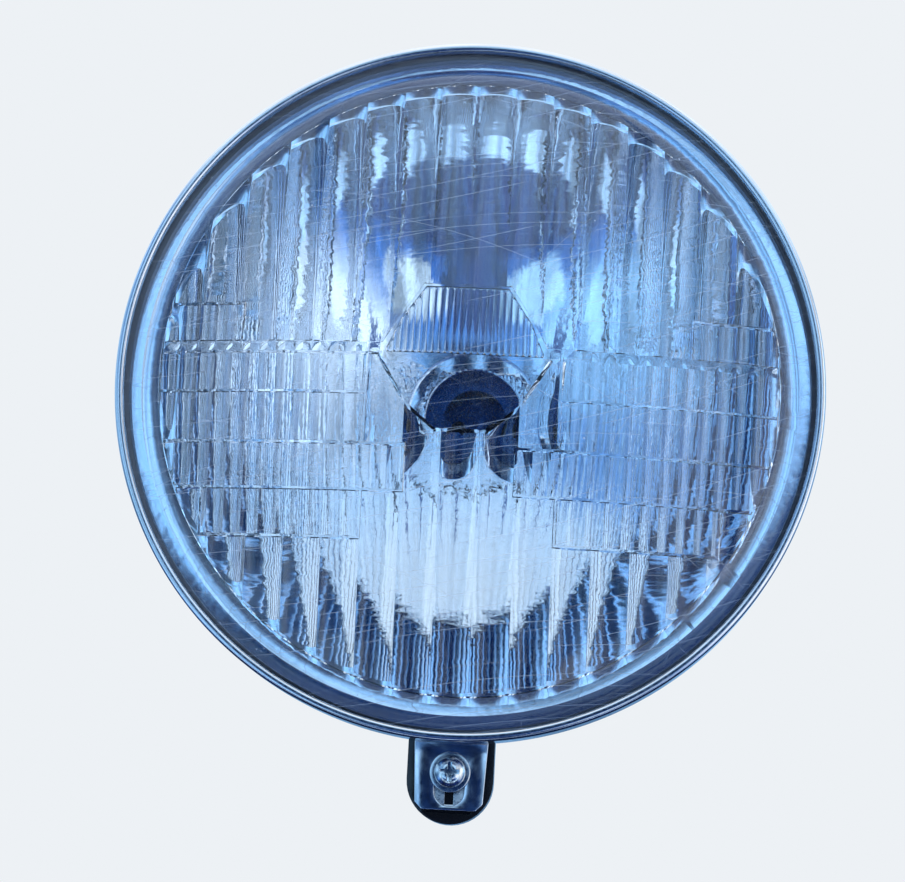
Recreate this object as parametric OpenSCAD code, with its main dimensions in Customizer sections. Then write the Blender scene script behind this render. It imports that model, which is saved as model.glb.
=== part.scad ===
// Round headlamp for a small motorcycle.
// The lamp axis runs along Y and the lens faces -Y. +Z is up. Lengths are in millimetres.
// The origin is where the lamp axis crosses the line through the two side bushes.
// A depth is counted backwards from the rim's front edge, and a radius from the lamp axis.

/* [Rim] */
// Outside diameter of the chromed rim
rim_d = 160; // [150:1:175]
// Depth of the rim from its front edge to its back edge
rim_depth = 10; // [9:0.5:14]
// Thickness of the rim's sheet metal
rim_t = 0.7; // [0.5:0.1:0.9]
// Width of the rolled front lip
lip_w = 2; // [1.6:0.1:3]
// How far the rolled lip turns back towards the lens flange
lip_depth = 2.6; // [2:0.1:3.5]
// Thickness of the inward fold along the rim's back edge
hem_t = 1.2; // [0.8:0.1:1.6]
// Thickness of the spring clips that hold the reflector in the rim
clip_t = 0.5; // [0.3:0.1:0.6]
// Length of a spring clip's two legs towards the lamp axis
clip_leg = 2.6; // [1.6:0.1:2.7]
// Angle that a spring clip covers around the rim
clip_angle = 14; // [8:1:24]

/* [Lens] */
// Radius of the dome's outer face
dome_r = 228; // [200:1:300]
// Step from the rim's outside in to the ribbed disc
disc_inset = 10.4; // [10:0.2:18]
// Radius of the rounded shoulder beside the ribbed disc
shoulder_r = 7; // [5:0.5:9]
// Height of the dome's front above the rim's front edge
dome_rise = 12; // [11:0.5:14]
// Thickness of the plain edge around the ribbed disc
lens_t = 4.4; // [3.8:0.1:5.2]
// Thickness of the plain wall between and behind the ribs
base_t = 2.8; // [2.4:0.1:3.2]
// Thickness of the flange that the rim holds
lens_flange_t = 2.4; // [2:0.1:3]
// Free play around the lens, reflector and bowl
edge_gap = 0.3; // [0.1:0.05:0.5]

/* [Ribs] */
// Width of one broad rib above and below the bands
broad_pitch = 8.45; // [6:0.05:11]
// Height of a broad rib above its valleys
broad_rise = 1.05; // [0.3:0.05:1.3]
// Lens thickness at the crest of a broad rib
broad_t = 4.1; // [3.8:0.1:4.2]
// Width of one narrow rib in the side bands
band_pitch = 4; // [3:0.25:6]
// Height of a narrow rib above its valleys
band_rise = 0.5; // [0.2:0.05:0.6]
// Lens thickness at the crests of the narrow ribs, in every second band
band_t = 3.6; // [3.5:0.1:3.8]
// Extra thickness in the bands between them
band_step = 0.3; // [0:0.05:0.4]
// Width of one fine rib in the middle panel
fine_pitch = 1.43; // [1.2:0.01:2.4]
// Height of a fine rib above its valleys
fine_rise = 0.3; // [0.1:0.05:0.4]
// Lens thickness at the crest of a fine rib
fine_t = 3.6; // [3.5:0.1:3.9]
// Width of the plain line left between two ribbed fields
ridge_w = 0.5; // [0.3:0.1:1]
// Height of the line where the short outer band starts
band_line_0 = 15.5; // [12:0.5:20]
// Height of the line above the first side band
band_line_1 = 6.5; // [5.5:0.5:8]
// Height of the line below the first side band
band_line_2 = -4.5; // [-6:0.5:-2]
// Height of the line below the second side band
band_line_3 = -15.8; // [-18:0.2:-12]
// Height of the line below the third side band
band_line_4 = -26; // [-28:0.5:-22]
// Height of the line below the last side band
band_line_5 = -36.5; // [-40:0.5:-30]
// Inner end of the first, second and last side band
band_inner = 21.5; // [20:0.5:26]
// Inner end of the third side band
band_inner_3 = 12.4; // [8:0.2:18]
// Distance from the ribbed disc's edge to the outer end of the last side band
outer_gap_5 = 12.1; // [9:0.1:20]
// Distance from the ribbed disc's edge to the inner end of the short outer band
inner_gap_0 = 19.6; // [14:0.1:30]
// Half width of the middle panel at its top
panel_top_w = 9.2; // [7:0.2:11]
// Half width of the middle panel where its sides bend
panel_side_w = 14.53; // [12:0.01:16]
// Half width of the middle panel at its bottom
panel_bottom_w = 17.8; // [15:0.2:18.4]
// Height of the middle panel's top edge
panel_top = 20; // [16:0.5:26]
// Height of the line between the middle panel and the clear window
panel_bottom = 4.4; // [2:0.2:5]
// Height of the bend in the middle panel's sides
panel_side = 12.2; // [8:0.2:16]
// Half width of the clear window where its sides bend in
window_side_w = 11.4; // [8:0.1:14]
// Height of the bend in the clear window's sides
window_side = -6.2; // [-10:0.2:-4]
// Half width of the clear window at its bottom
window_bottom_w = 5.5; // [3:0.1:8]
// Height of the clear window's bottom edge
window_bottom = -11.5; // [-14:0.1:-9]
// Width of the plain line around the clear window
window_ridge = 1; // [0.6:0.1:1.4]

/* [Reflector] */
// Distance from the paraboloid's vertex to its focus
focal_l = 33; // [24:0.5:36]
// Step from the rim's outside in to the dish's mouth
mouth_inset = 11.4; // [11:0.1:24]
// Thickness of the reflector's sheet metal
reflector_t = 0.8; // [0.5:0.1:1]
// Radius of the bulb hole
bulb_hole_r = 11.5; // [11:0.1:13]
// Radius of the flat seat pressed around the bulb hole
seat_r = 15.6; // [14:0.1:17]
// Length of the collar behind the bulb hole
collar_l = 5; // [3:0.5:7]
// Thickness of the rubber ring between lens and reflector
seal_t = 1.4; // [1:0.1:2]
// Width of the rubber ring
seal_w = 1.8; // [1.4:0.1:4]

/* [Bowl] */
// Step from the rim's outside in to the bowl's mouth
bowl_inset = 3.8; // [3.6:0.1:8]
// Wall thickness of the moulded bowl
bowl_t = 2.2; // [1.8:0.1:3]
// Depth at which the bowl's straight mouth ends
bowl_straight = 12; // [11.5:0.5:14]
// Radius of the bowl's long side curve
bowl_side_r = 150; // [120:5:200]
// Radius of the curve between the bowl's side and its back
bowl_corner_r = 34; // [28:1:40]
// Turn of the long side curve, in degrees
bowl_side_angle = 12; // [10:1:14]
// Angle at which the corner curve meets the back, in degrees
bowl_back_angle = 72; // [68:1:76]
// Free room between the holder's boot and the loom grommet
bowl_room = 2.6; // [1:0.1:12]

/* [Top hook] */
// Width of the top hook
hook_w = 12; // [8:0.5:18]
// Length of the hook's tongue behind the rim
hook_l = 4; // [3:0.1:6]
// Free play around the hook in the bowl
hook_gap = 0.4; // [0.2:0.1:0.8]

/* [Bottom fixing] */
// Width of the rim tab where it leaves the rim
tab_w = 16.6; // [14:0.2:20]
// Width of the rim tab at its lower end
tab_end_w = 15.2; // [12:0.2:16]
// Thickness of the tab and of the top hook
tab_t = 1.1; // [0.8:0.1:1.5]
// Metal left below the tab's slot
tab_web = 0.8; // [0.5:0.1:2]
// Cut across each lower corner of the tab
tab_cut = 1.6; // [0.5:0.1:3]
// Width of the slot in the tab
slot_w = 6.7; // [5:0.1:7]
// Drop from the rim's lowest point to the fixing screw
screw_drop = 6.2; // [5.6:0.1:7]
// Distance from the fixing screw to the slot's lower end
slot_run = 7.6; // [5.8:0.1:9]
// Thread diameter of the fixing screw
screw_d = 4; // [3:0.5:4]
// Head diameter of the fixing screw
head_d = 7; // [6:0.2:8]
// Head height of the fixing screw
head_h = 2.5; // [2:0.1:3]
// Length of the fixing screw under its head
screw_l = 11; // [10:0.5:14]
// Outside diameter of the screw's washer
washer_d = 9; // [8.4:0.2:10]
// Thickness of the screw's washer
washer_t = 0.8; // [0.5:0.1:1]
// Width of the lug under the bowl
lug_w = 19.4; // [17:0.2:22]
// How far the lug's rounded end reaches past the tab
lug_over = 3.1; // [2.4:0.1:6]
// Thickness of the lug's front plate
lug_t = 3.5; // [2.5:0.1:4.5]
// Depth of the lug from its front face to its back edge
lug_depth = 7; // [6:0.5:10]
// Thickness of the wall around the lug's back
lug_wall = 2; // [1.6:0.1:2.5]
// Sheet thickness of the spring nut
nut_t = 0.7; // [0.5:0.1:1]
// Width of the spring nut
nut_w = 9; // [8:0.2:10]

/* [Side bushes] */
// Distance of the bolt axis behind the rim's front edge
rim_to_bolt = 34; // [30:0.5:40]
// How far a bush's outer face lies inside the bowl's mouth radius
bush_inset = 0.2; // [-1.8:0.1:1.2]
// Tapping diameter of the bushes' thread
bush_bore_d = 6.8; // [5:0.1:8.5]
// Outside diameter of a bush
bush_d = 11; // [10:0.5:13]
// Length of a bush
bush_l = 12; // [8:1:16]
// Diameter of the moulded boss around a bush
boss_d = 17; // [15:0.5:20]

/* [Bulb and holder] */
// Radius of the bulb's glass
glass_r = 9.5; // [7:0.5:10.5]
// Length of the bulb's glass in front of the collar
glass_l = 34; // [20:1:38]
// Length of the taper between the bulb's glass and its neck
glass_taper = 6; // [4:0.5:8]
// Radius of the bulb's metal cap
cap_r = 9.8; // [8:0.2:10.5]
// Length of the bulb's cap behind its flange
cap_l = 8; // [6:0.5:10]
// Thickness of the flange on the bulb's cap
cap_flange_t = 1.2; // [0.8:0.1:2]
// Wall thickness of the bulb holder
holder_t = 1.6; // [1.2:0.1:2]
// Thickness of the plate that carries the contacts
plate_t = 1.6; // [1.2:0.1:2.5]
// Distance of a contact from the lamp axis
contact_x = 4.2; // [3.5:0.1:4.6]
// Width of a spade terminal
spade_w = 6.3; // [4.8:0.1:6.4]
// Thickness of a spade terminal
spade_t = 0.8; // [0.5:0.1:1]
// Length of a spade terminal behind the holder
spade_l = 7; // [5:0.5:8]

/* [Wiring] */
// Wall thickness of the rubber boot over the holder
boot_t = 1.6; // [1.2:0.1:2.5]
// Bore diameter of the loom grommet in the bowl's back
loom_d = 7; // [5:0.5:9]
// Wall of the grommet between its bore and the bowl
grommet_wall = 2.4; // [1.8:0.1:3]
// Width of the grommet's lips
grommet_lip = 2.6; // [2:0.1:3.5]
// Thickness of each grommet lip
grommet_lip_t = 1.8; // [1.2:0.1:2.5]

/* [Hidden] */
$fn = 96;
cut = 1;

rim_r = rim_d / 2;
rim_inner_r = rim_r - rim_t;
lip_inner_r = rim_r - lip_w;
held_r = rim_inner_r - edge_gap;
disc_r = rim_r - disc_inset;
mouth_r = rim_r - mouth_inset;
bowl_mouth_r = rim_r - bowl_inset;

dome_centre = dome_r - dome_rise;
lens_flange_back = lip_depth + lens_flange_t;
dome_edge_r = disc_r + ridge_w;
dome_edge_angle = asin(dome_edge_r / dome_r);
shoulder_centre = [dome_edge_r - shoulder_r * sin(dome_edge_angle),
    dome_centre - (dome_r - shoulder_r) * cos(dome_edge_angle)];
shoulder_end_angle = acos((shoulder_centre.y - lip_depth) / shoulder_r);
rib_sink = 0.2;
rib_sweep = 2 * asin((disc_r + 2 * rib_sink) / dome_r);
band_outer_5 = disc_r - outer_gap_5;
band_inner_0 = disc_r - inner_gap_0;

seal_back = lens_flange_back + seal_t;
reflector_back = seal_back + reflector_t;
vertex_depth = seal_back + mouth_r * mouth_r / (4 * focal_l);
seat_depth = vertex_depth - bulb_hole_r * bulb_hole_r / (4 * focal_l);
seat_back = seat_depth + reflector_t;
collar_r = bulb_hole_r + reflector_t;
collar_end = vertex_depth + collar_l;
hem_front = rim_depth - hem_t;
fold_ease = 0.1;
clip_outer_r = rim_inner_r - edge_gap / 2;
clip_inner_r = clip_outer_r - clip_leg;

bowl_front = reflector_back + edge_gap;
side_centre = [bowl_mouth_r - bowl_side_r, bowl_straight];
corner_centre = side_centre + (bowl_side_r - bowl_corner_r) * [cos(bowl_side_angle), sin(bowl_side_angle)];
back_r = bowl_corner_r + corner_centre.x / cos(bowl_back_angle);
back_centre = [0, corner_centre.y - (back_r - bowl_corner_r) * sin(bowl_back_angle)];
curve_depth = back_centre.y + back_r - bowl_straight;

hook_foot = bowl_mouth_r - bowl_t - tab_t - hook_gap;
hook_lap = 1.2;

screw_reach = rim_r + screw_drop;
slot_reach = screw_reach + slot_run;
tab_reach = slot_reach + tab_web;
lug_reach = tab_reach + lug_over;
tab_back = rim_depth + tab_t;
tab_lap = 0.2;
slot_rise = 0.6;
lug_root = 2;
lug_front = tab_back + nut_t;
lug_plate_back = lug_front + lug_t;
washer_front = rim_depth - washer_t;
washer_play = 0.2;
nut_play = 0.1;
nut_inset = 0.5;
nut_end = slot_reach - nut_inset;
nut_window_play = 1;
nut_window_h = nut_t + 3 * nut_play + nut_window_play;
nut_slit = 2;
nut_boss_wall = 1.2;
nut_boss_l = 2;
screw_play = 0.05;
screw_hole_play = 0.6;
screw_hole_d = screw_d + screw_hole_play;
crown_flat = 1.12;
shank_lap = 0.8;
recess_w = 0.15;
recess_reach = 0.62;

bush_reach = bowl_mouth_r - bush_inset;

flange_back = collar_end + cap_flange_t;
cap_back = flange_back + cap_l;
solder_t = 0.6;
rivet_head_t = 0.8;
rivet_r = 1.4;
rivet_head_r = 2.2;
solder_r = 1.8;
neck_share = 0.8;
plate_front = cap_back + solder_t + rivet_head_t;
plate_back = plate_front + plate_t;
holder_inner_r = collar_r + edge_gap;
holder_r = holder_inner_r + holder_t;
holder_front = seat_back + edge_gap;
holder_back = plate_back + holder_t;
spade_back = holder_back + spade_l;
boot_inner_r = holder_r + edge_gap / 2;
boot_front = holder_front + (holder_back - holder_front) / 2;
boot_over = 1.5;
boot_back = spade_back + boot_over;
boot_end_r = spade_w / 2 + contact_x + boot_t;

grommet_r = loom_d / 2 + grommet_wall;
grommet_lip_r = grommet_r + grommet_lip;
pad_margin = 1;
pad_r = grommet_lip_r + pad_margin;
pad_rise = 0.3;
pad_sink = 0.4;
pad_front = boot_back + bowl_room + grommet_lip_t;
bowl_depth = pad_front + pad_sink + bowl_t;
pad_back = bowl_depth + pad_rise;
grommet_nose = 5;
grommet_bevel = 0.6;
nose_foot_wall = 1.6;
nose_tip_wall = 1.2;

function arc(centre, r, from, to, steps) =
    [for (i = [0 : steps]) let (a = from + (to - from) * i / steps) centre + r * [cos(a), sin(a)]];

function paraboloid_at(r) = vertex_depth - r * r / (4 * focal_l);

// depth of the reflector's back face at a radius
function reflector_back_at(r) = paraboloid_at(r) + reflector_t * sqrt(1 + pow(r / (2 * focal_l), 2));

// radius of a circle whose arc over one pitch rises by rise
function rib_circle_r(pitch, rise) = pitch * pitch / (8 * rise) + rise / 2;

// turns an outline of radius and depth about the lamp axis
module lathe() {
    translate([0, -rim_to_bolt, 0])
        rotate([-90, 0, 0])
            rotate_extrude()
                children();
}

// draws an outline of width and height as a plate that starts at a depth
module plate(depth, thickness) {
    translate([0, depth + thickness - rim_to_bolt, 0])
        rotate([90, 0, 0])
            linear_extrude(thickness)
                children();
}

// draws an outline of depth and height as a strip across the lamp's width
module strip(width) {
    translate([-width / 2, -rim_to_bolt, 0])
        rotate([90, 0, 90])
            linear_extrude(width)
                children();
}

module rod(r, depth, length) {
    translate([0, depth - rim_to_bolt, 0])
        rotate([-90, 0, 0])
            cylinder(r = r, h = length);
}

module mirror_copy() {
    children();
    mirror([1, 0, 0]) children();
}

// ribs that run up and down, follow the dome and stand proud of its inner face
module ribs(pitch, rise, thick, low, high, shift) {
    r = rib_circle_r(pitch, rise);
    crest_r = dome_r - thick;
    grow = 1 + r / crest_r;
    first = floor((low - shift) / pitch) - 1;
    last = ceil((high - shift) / pitch);
    translate([0, dome_centre - rim_to_bolt, 0])
        multmatrix([[0, 0, 1, 0], [-1, 0, 0, 0], [0, -1, 0, 0], [0, 0, 0, 1]])
            rotate([0, 0, -rib_sweep / 2])
                rotate_extrude(angle = rib_sweep)
                    intersection() {
                        circle(dome_r - base_t / 2);
                        union() {
                            for (i = [first : last]) {
                                x = pitch * (i + 0.5) + shift;
                                translate(grow * [sqrt(crest_r * crest_r - x * x), x]) circle(r);
                            }
                        }
                    }
}

// prism over a field's outline, cut off in the thick edge around the ribbed disc
module field(outline) {
    plate(-dome_rise - cut, dome_rise + lens_flange_back + 2 * cut)
        intersection() {
            polygon(outline);
            circle(disc_r + rib_sink);
        }
}

module ribbed_field(outline, pitch, rise, thick, low = -disc_r, high = disc_r, shift = 0) {
    intersection() {
        field(outline);
        ribs(pitch, rise, thick, low, high, shift);
    }
}

function box_outline(x0, x1, z0, z1) = [[x0, z0], [x1, z0], [x1, z1], [x0, z1]];

// an outline across the lamp's middle, from its right half
function both_sides(right) =
    concat(right, [for (i = [len(right) - 1 : -1 : 0]) [-right[i].x, right[i].y]]);

// one side band, drawn on the right and inset by half a plain line
function band_outline(inner, outer, low, high) = box_outline(inner + ridge_w / 2, outer - ridge_w / 2,
    low + ridge_w / 2, high - ridge_w / 2);

module side_bands() {
    far = disc_r + cut;
    lows = [band_line_1, band_line_2, band_line_3, band_line_4, band_line_5];
    highs = [band_line_0, band_line_1, band_line_2, band_line_3, band_line_4];
    inners = [band_inner_0, band_inner, band_inner, band_inner_3, band_inner];
    outers = [far, far, far, far, band_outer_5];
    for (i = [0 : 4])
        mirror_copy()
            ribbed_field(band_outline(inners[i], outers[i], lows[i], highs[i]),
                band_pitch, band_rise, band_t + band_step * (i % 2), inners[i], outers[i]);
}

module upper_field() {
    far = disc_r + cut;
    low = band_line_1 + ridge_w / 2;
    step = band_line_0 + ridge_w / 2;
    top = panel_top + ridge_w;
    right = [[panel_top_w + ridge_w, top], [panel_side_w + ridge_w, panel_side],
        [panel_bottom_w + ridge_w, low], [band_inner_0, low], [band_inner_0, step], [far, step], [far, far]];
    ribbed_field(both_sides(right), broad_pitch, broad_rise, broad_t);
}

module lower_field() {
    far = disc_r + cut;
    half = ridge_w / 2;
    top = band_line_1 - half;
    right = [[window_bottom_w + half, window_bottom - ridge_w],
        [window_side_w + window_ridge, window_side - half],
        [panel_bottom_w + window_ridge, panel_bottom], [panel_bottom_w + window_ridge, top],
        [band_inner - half, top], [band_inner - half, band_line_3 + half],
        [band_inner_3 - half, band_line_3 + half], [band_inner_3 - half, band_line_4 - half],
        [band_inner - half, band_line_4 - half], [band_inner - half, band_line_5 - half],
        [band_outer_5 + half, band_line_5 - half], [band_outer_5 + half, band_line_4 - half],
        [far, band_line_4 - half], [far, -far]];
    ribbed_field(both_sides(right), broad_pitch, broad_rise, broad_t, shift = broad_pitch / 2);
}

module middle_panel() {
    low = panel_bottom + ridge_w / 2;
    right = [[panel_bottom_w, low], [panel_side_w, panel_side], [panel_top_w, panel_top]];
    ribbed_field(both_sides(right), fine_pitch, fine_rise, fine_t, -panel_bottom_w, panel_bottom_w);
}

// dome, flange and thick edge, with the disc inside them thinned to the plain wall
module lens_blank() {
    lathe()
        difference() {
            union() {
                intersection() {
                    translate([0, dome_centre]) circle(dome_r);
                    translate([0, -dome_rise - cut])
                        square([dome_edge_r, dome_rise + cut + lens_flange_back]);
                }
                polygon(concat([[dome_edge_r - cut, lens_flange_back]],
                    [[dome_edge_r - cut, dome_centre - dome_r * cos(dome_edge_angle)]],
                    arc(shoulder_centre, shoulder_r, dome_edge_angle - 90, shoulder_end_angle - 90, 8),
                    [[held_r, lip_depth], [held_r, lens_flange_back]]));
            }
            translate([0, dome_centre]) circle(dome_r - lens_t);
            intersection() {
                translate([0, dome_centre]) circle(dome_r - base_t);
                translate([0, -dome_rise - cut]) square([disc_r, dome_rise + cut + lens_flange_back]);
            }
            translate([-dome_r, -dome_r]) square([dome_r, 3 * dome_r]);
        }
}

module lens() {
    color([0.82, 0.87, 0.95, 0.4])
        union() {
            lens_blank();
            upper_field();
            lower_field();
            side_bands();
            middle_panel();
        }
}

module lens_seal() {
    color([0.08, 0.08, 0.09])
        lathe()
            translate([held_r - seal_w, lens_flange_back]) square([seal_w, seal_t]);
}

module reflector() {
    steps = 20;
    foot_r = seat_r + reflector_t;
    front = [for (i = [0 : steps]) let (r = mouth_r + (seat_r - mouth_r) * i / steps)
        [r, paraboloid_at(r)]];
    back = [for (i = [0 : steps]) let (r = foot_r + (mouth_r - foot_r) * i / steps)
        [r, reflector_back_at(r)]];
    color([0.86, 0.88, 0.92])
        lathe()
            polygon(concat([[held_r, seal_back]], front, [[seat_r, seat_depth], [bulb_hole_r, seat_depth]],
                [[bulb_hole_r, collar_end], [collar_r, collar_end]],
                [[collar_r, seat_back], [foot_r, seat_back]], back,
                [[mouth_r + reflector_t, reflector_back], [held_r, reflector_back]]));
}

module rim() {
    roll_r = lip_w / 2;
    inner_roll_r = rim_t;
    color([0.8, 0.82, 0.85])
        lathe()
            polygon(concat(
                arc([rim_r - roll_r, roll_r], roll_r, 0, -90, 6),
                arc([lip_inner_r + inner_roll_r, inner_roll_r], inner_roll_r, -90, -180, 4),
                [[lip_inner_r, lip_depth], [lip_inner_r + rim_t, lip_depth], [lip_inner_r + rim_t, rim_t]],
                [[rim_inner_r - fold_ease, rim_t], [rim_inner_r, roll_r]],
                [[rim_inner_r, hem_front], [lip_inner_r, hem_front], [lip_inner_r, rim_depth]],
                arc([rim_r - hem_t / 2, rim_depth - hem_t / 2], hem_t / 2, 90, 0, 4)));
}

module slot_outline() {
    r = slot_w / 2;
    top = -screw_reach + slot_rise;
    bottom = -slot_reach + r;
    translate([0, bottom]) circle(r);
    translate([0, top]) circle(r);
    translate([-r, bottom]) square([slot_w, top - bottom]);
}

module rim_tab() {
    top = -lip_inner_r - tab_lap;
    end = tab_end_w / 2;
    color([0.72, 0.74, 0.77])
        plate(rim_depth, tab_t)
            difference() {
                polygon([[-tab_w / 2, top], [-end, -tab_reach + tab_cut], [-end + tab_cut, -tab_reach],
                    [end - tab_cut, -tab_reach], [end, -tab_reach + tab_cut], [tab_w / 2, top]]);
                slot_outline();
            }
}

module rim_hook() {
    top = lip_inner_r + hook_lap;
    tip = rim_depth + hook_l;
    color([0.72, 0.74, 0.77])
        strip(hook_w)
            polygon([[rim_depth, top], [rim_depth, hook_foot], [tip, hook_foot],
                [tip, hook_foot + tab_t], [tab_back, hook_foot + tab_t], [tab_back, top]]);
}

module clip(angle) {
    color([0.6, 0.62, 0.65])
        translate([0, -rim_to_bolt, 0])
            rotate([-90, 0, 0])
                rotate([0, 0, angle - clip_angle / 2])
                    rotate_extrude(angle = clip_angle)
                        polygon([[clip_inner_r, reflector_back], [clip_outer_r, reflector_back],
                            [clip_outer_r, hem_front], [clip_inner_r, hem_front],
                            [clip_inner_r, hem_front - clip_t], [clip_outer_r - clip_t, hem_front - clip_t],
                            [clip_outer_r - clip_t, reflector_back + clip_t],
                            [clip_inner_r, reflector_back + clip_t]]);
}

module clip_upper_left() { clip(225); }

module clip_upper_right() { clip(315); }

module clip_lower_left() { clip(135); }

module clip_lower_right() { clip(45); }

// half outline of the bowl, moved in by an inset along every curve and drawn out to the bowl's depth
module bowl_outline(inset, front) {
    stretch = (bowl_depth - inset - bowl_straight) / (curve_depth - inset);
    curve = concat(arc(side_centre, bowl_side_r - inset, 0, bowl_side_angle, 6),
        arc(corner_centre, bowl_corner_r - inset, bowl_side_angle, bowl_back_angle, 10),
        arc(back_centre, back_r - inset, bowl_back_angle, 90, 6));
    polygon(concat([[0, front], [bowl_mouth_r - inset, front]],
        [for (p = curve) [p.x, bowl_straight + (p.y - bowl_straight) * stretch]]));
}

module lug_outline(inset) {
    r = lug_w / 2 - inset;
    low = -lug_reach + lug_w / 2;
    translate([0, low]) circle(r);
    translate([-r, low]) square([2 * r, lug_reach - lug_w / 2 - bowl_mouth_r + bowl_t + lug_root]);
}

module nut_window() {
    top = -nut_end + nut_play;
    translate([-(nut_w + nut_window_play) / 2, top - nut_window_h])
        square([nut_w + nut_window_play, nut_window_h]);
}

module lug() {
    difference() {
        plate(lug_front, lug_depth) lug_outline(0);
        plate(lug_plate_back, lug_depth) lug_outline(lug_wall);
    }
}

module bowl() {
    color([0.05, 0.05, 0.06])
        difference() {
            union() {
                lathe() bowl_outline(0, bowl_front);
                lug();
                lathe() translate([0, pad_front]) square([pad_r, pad_back - pad_front]);
                rotate([0, 90, 0]) cylinder(d = boss_d, h = 2 * bush_reach, center = true);
            }
            difference() {
                lathe() bowl_outline(bowl_t, bowl_front - cut);
                mirror_copy()
                    translate([bush_reach - bush_l, 0, 0])
                        rotate([0, 90, 0]) cylinder(d = boss_d, h = bush_l);
                lathe() translate([0, pad_front]) square([pad_r, bowl_t + cut]);
            }
            mirror_copy()
                translate([bush_reach - bush_l - cut, 0, 0])
                    rotate([0, 90, 0]) cylinder(d = bush_d, h = bush_l + 2 * cut);
            rod(grommet_r, pad_front - cut, bowl_t + 3 * cut);
            translate([0, 0, -screw_reach]) rod(screw_hole_d / 2, lug_front - cut, lug_t + 2 * cut);
            plate(lug_front - cut, lug_t + 2 * cut) nut_window();
            strip(hook_w + 2 * hook_gap)
                translate([rim_depth - hook_gap, bowl_mouth_r - bowl_t - cut])
                    square([tab_t + 2 * hook_gap, bowl_t + 2 * cut]);
        }
}

module bush() {
    color([0.75, 0.6, 0.3])
        translate([bush_reach - bush_l, 0, 0])
            rotate([0, 90, 0])
                difference() {
                    cylinder(d = bush_d, h = bush_l);
                    translate([0, 0, -cut]) cylinder(d = bush_bore_d, h = bush_l + 2 * cut);
                }
}

module bush_right() { bush(); }

module bush_left() { mirror([1, 0, 0]) bush(); }

module bulb() {
    glass_end = collar_end - glass_l - glass_r;
    neck_r = glass_r * neck_share;
    bevel = 1;
    color([0.85, 0.88, 0.9]) {
        lathe()
            polygon(concat(arc([0, glass_end + glass_r], glass_r, -90, 0, 12),
                [[glass_r, seat_depth - glass_taper], [neck_r, seat_depth], [neck_r, collar_end],
                [bulb_hole_r + reflector_t / 2, collar_end], [bulb_hole_r + reflector_t / 2, flange_back],
                [cap_r, flange_back], [cap_r, cap_back - bevel], [cap_r - bevel, cap_back], [0, cap_back]]));
        mirror_copy()
            translate([contact_x, 0, 0]) rod(solder_r, cap_back - cut, solder_t + cut);
    }
}

module bulb_holder() {
    color([0.7, 0.7, 0.66])
        lathe()
            polygon([[holder_inner_r, holder_front], [holder_r, holder_front], [holder_r, holder_back],
                [contact_x + spade_w / 2, holder_back], [contact_x + spade_w / 2, plate_back],
                [holder_inner_r, plate_back]]);
}

module contact_plate() {
    color([0.45, 0.3, 0.18])
        difference() {
            rod(holder_inner_r - edge_gap / 2, plate_front, plate_t);
            mirror_copy()
                translate([contact_x, 0, 0]) rod(rivet_r + screw_play, plate_front - cut, plate_t + 2 * cut);
        }
}

// rivet with its head on the bulb's contact and a spade behind the holder
module terminal() {
    color([0.8, 0.68, 0.35])
        translate([contact_x, 0, 0]) {
            rod(rivet_head_r, plate_front - rivet_head_t, rivet_head_t);
            rod(rivet_r, plate_front - rivet_head_t / 2, plate_t + rivet_head_t / 2 + holder_t);
            translate([-spade_t / 2, plate_back + holder_t / 2 - rim_to_bolt, -spade_w / 2])
                cube([spade_t, spade_l + holder_t / 2, spade_w]);
        }
}

module terminal_right() { terminal(); }

module terminal_left() { mirror([1, 0, 0]) terminal(); }

module holder_boot() {
    shoulder = holder_back + edge_gap;
    color([0.1, 0.1, 0.11])
        lathe()
            polygon([[boot_inner_r, boot_front], [boot_inner_r + boot_t, boot_front],
                [boot_inner_r + boot_t, shoulder + boot_t], [boot_end_r, boot_back],
                [boot_end_r - boot_t, boot_back], [boot_inner_r, shoulder]]);
}

module loom_grommet() {
    bore_r = loom_d / 2;
    color([0.1, 0.1, 0.11])
        lathe()
            polygon([[bore_r, pad_front - grommet_lip_t], [grommet_lip_r, pad_front - grommet_lip_t],
                [grommet_lip_r, pad_front], [grommet_r, pad_front], [grommet_r, pad_back],
                [grommet_lip_r, pad_back], [grommet_lip_r - grommet_bevel, pad_back + grommet_lip_t],
                [bore_r + nose_foot_wall, pad_back + grommet_lip_t],
                [bore_r + nose_tip_wall, pad_back + grommet_nose],
                [bore_r, pad_back + grommet_nose]]);
}

module fixing_screw() {
    head_r = head_d / 2;
    crown_r = crown_flat * (head_r * head_r + head_h * head_h) / (2 * head_h);
    color([0.85, 0.86, 0.84])
        translate([0, 0, -screw_reach]) {
            difference() {
                lathe()
                    intersection() {
                        translate([0, washer_front - head_h]) square([head_r, head_h]);
                        translate([0, washer_front - head_h * crown_flat + crown_r]) circle(crown_r);
                    }
                for (turn = [0, 90])
                    translate([0, washer_front - head_h - rim_to_bolt, 0])
                        rotate([0, turn, 0])
                            cube([head_d * recess_reach, head_h, head_d * recess_w], center = true);
            }
            rod(screw_d / 2, washer_front - shank_lap, screw_l + shank_lap);
        }
}

module screw_washer() {
    color([0.8, 0.81, 0.8])
        translate([0, 0, -screw_reach])
            difference() {
                rod(washer_d / 2, washer_front, washer_t);
                rod(screw_d / 2 + washer_play, washer_front - cut, washer_t + 2 * cut);
            }
}

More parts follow.
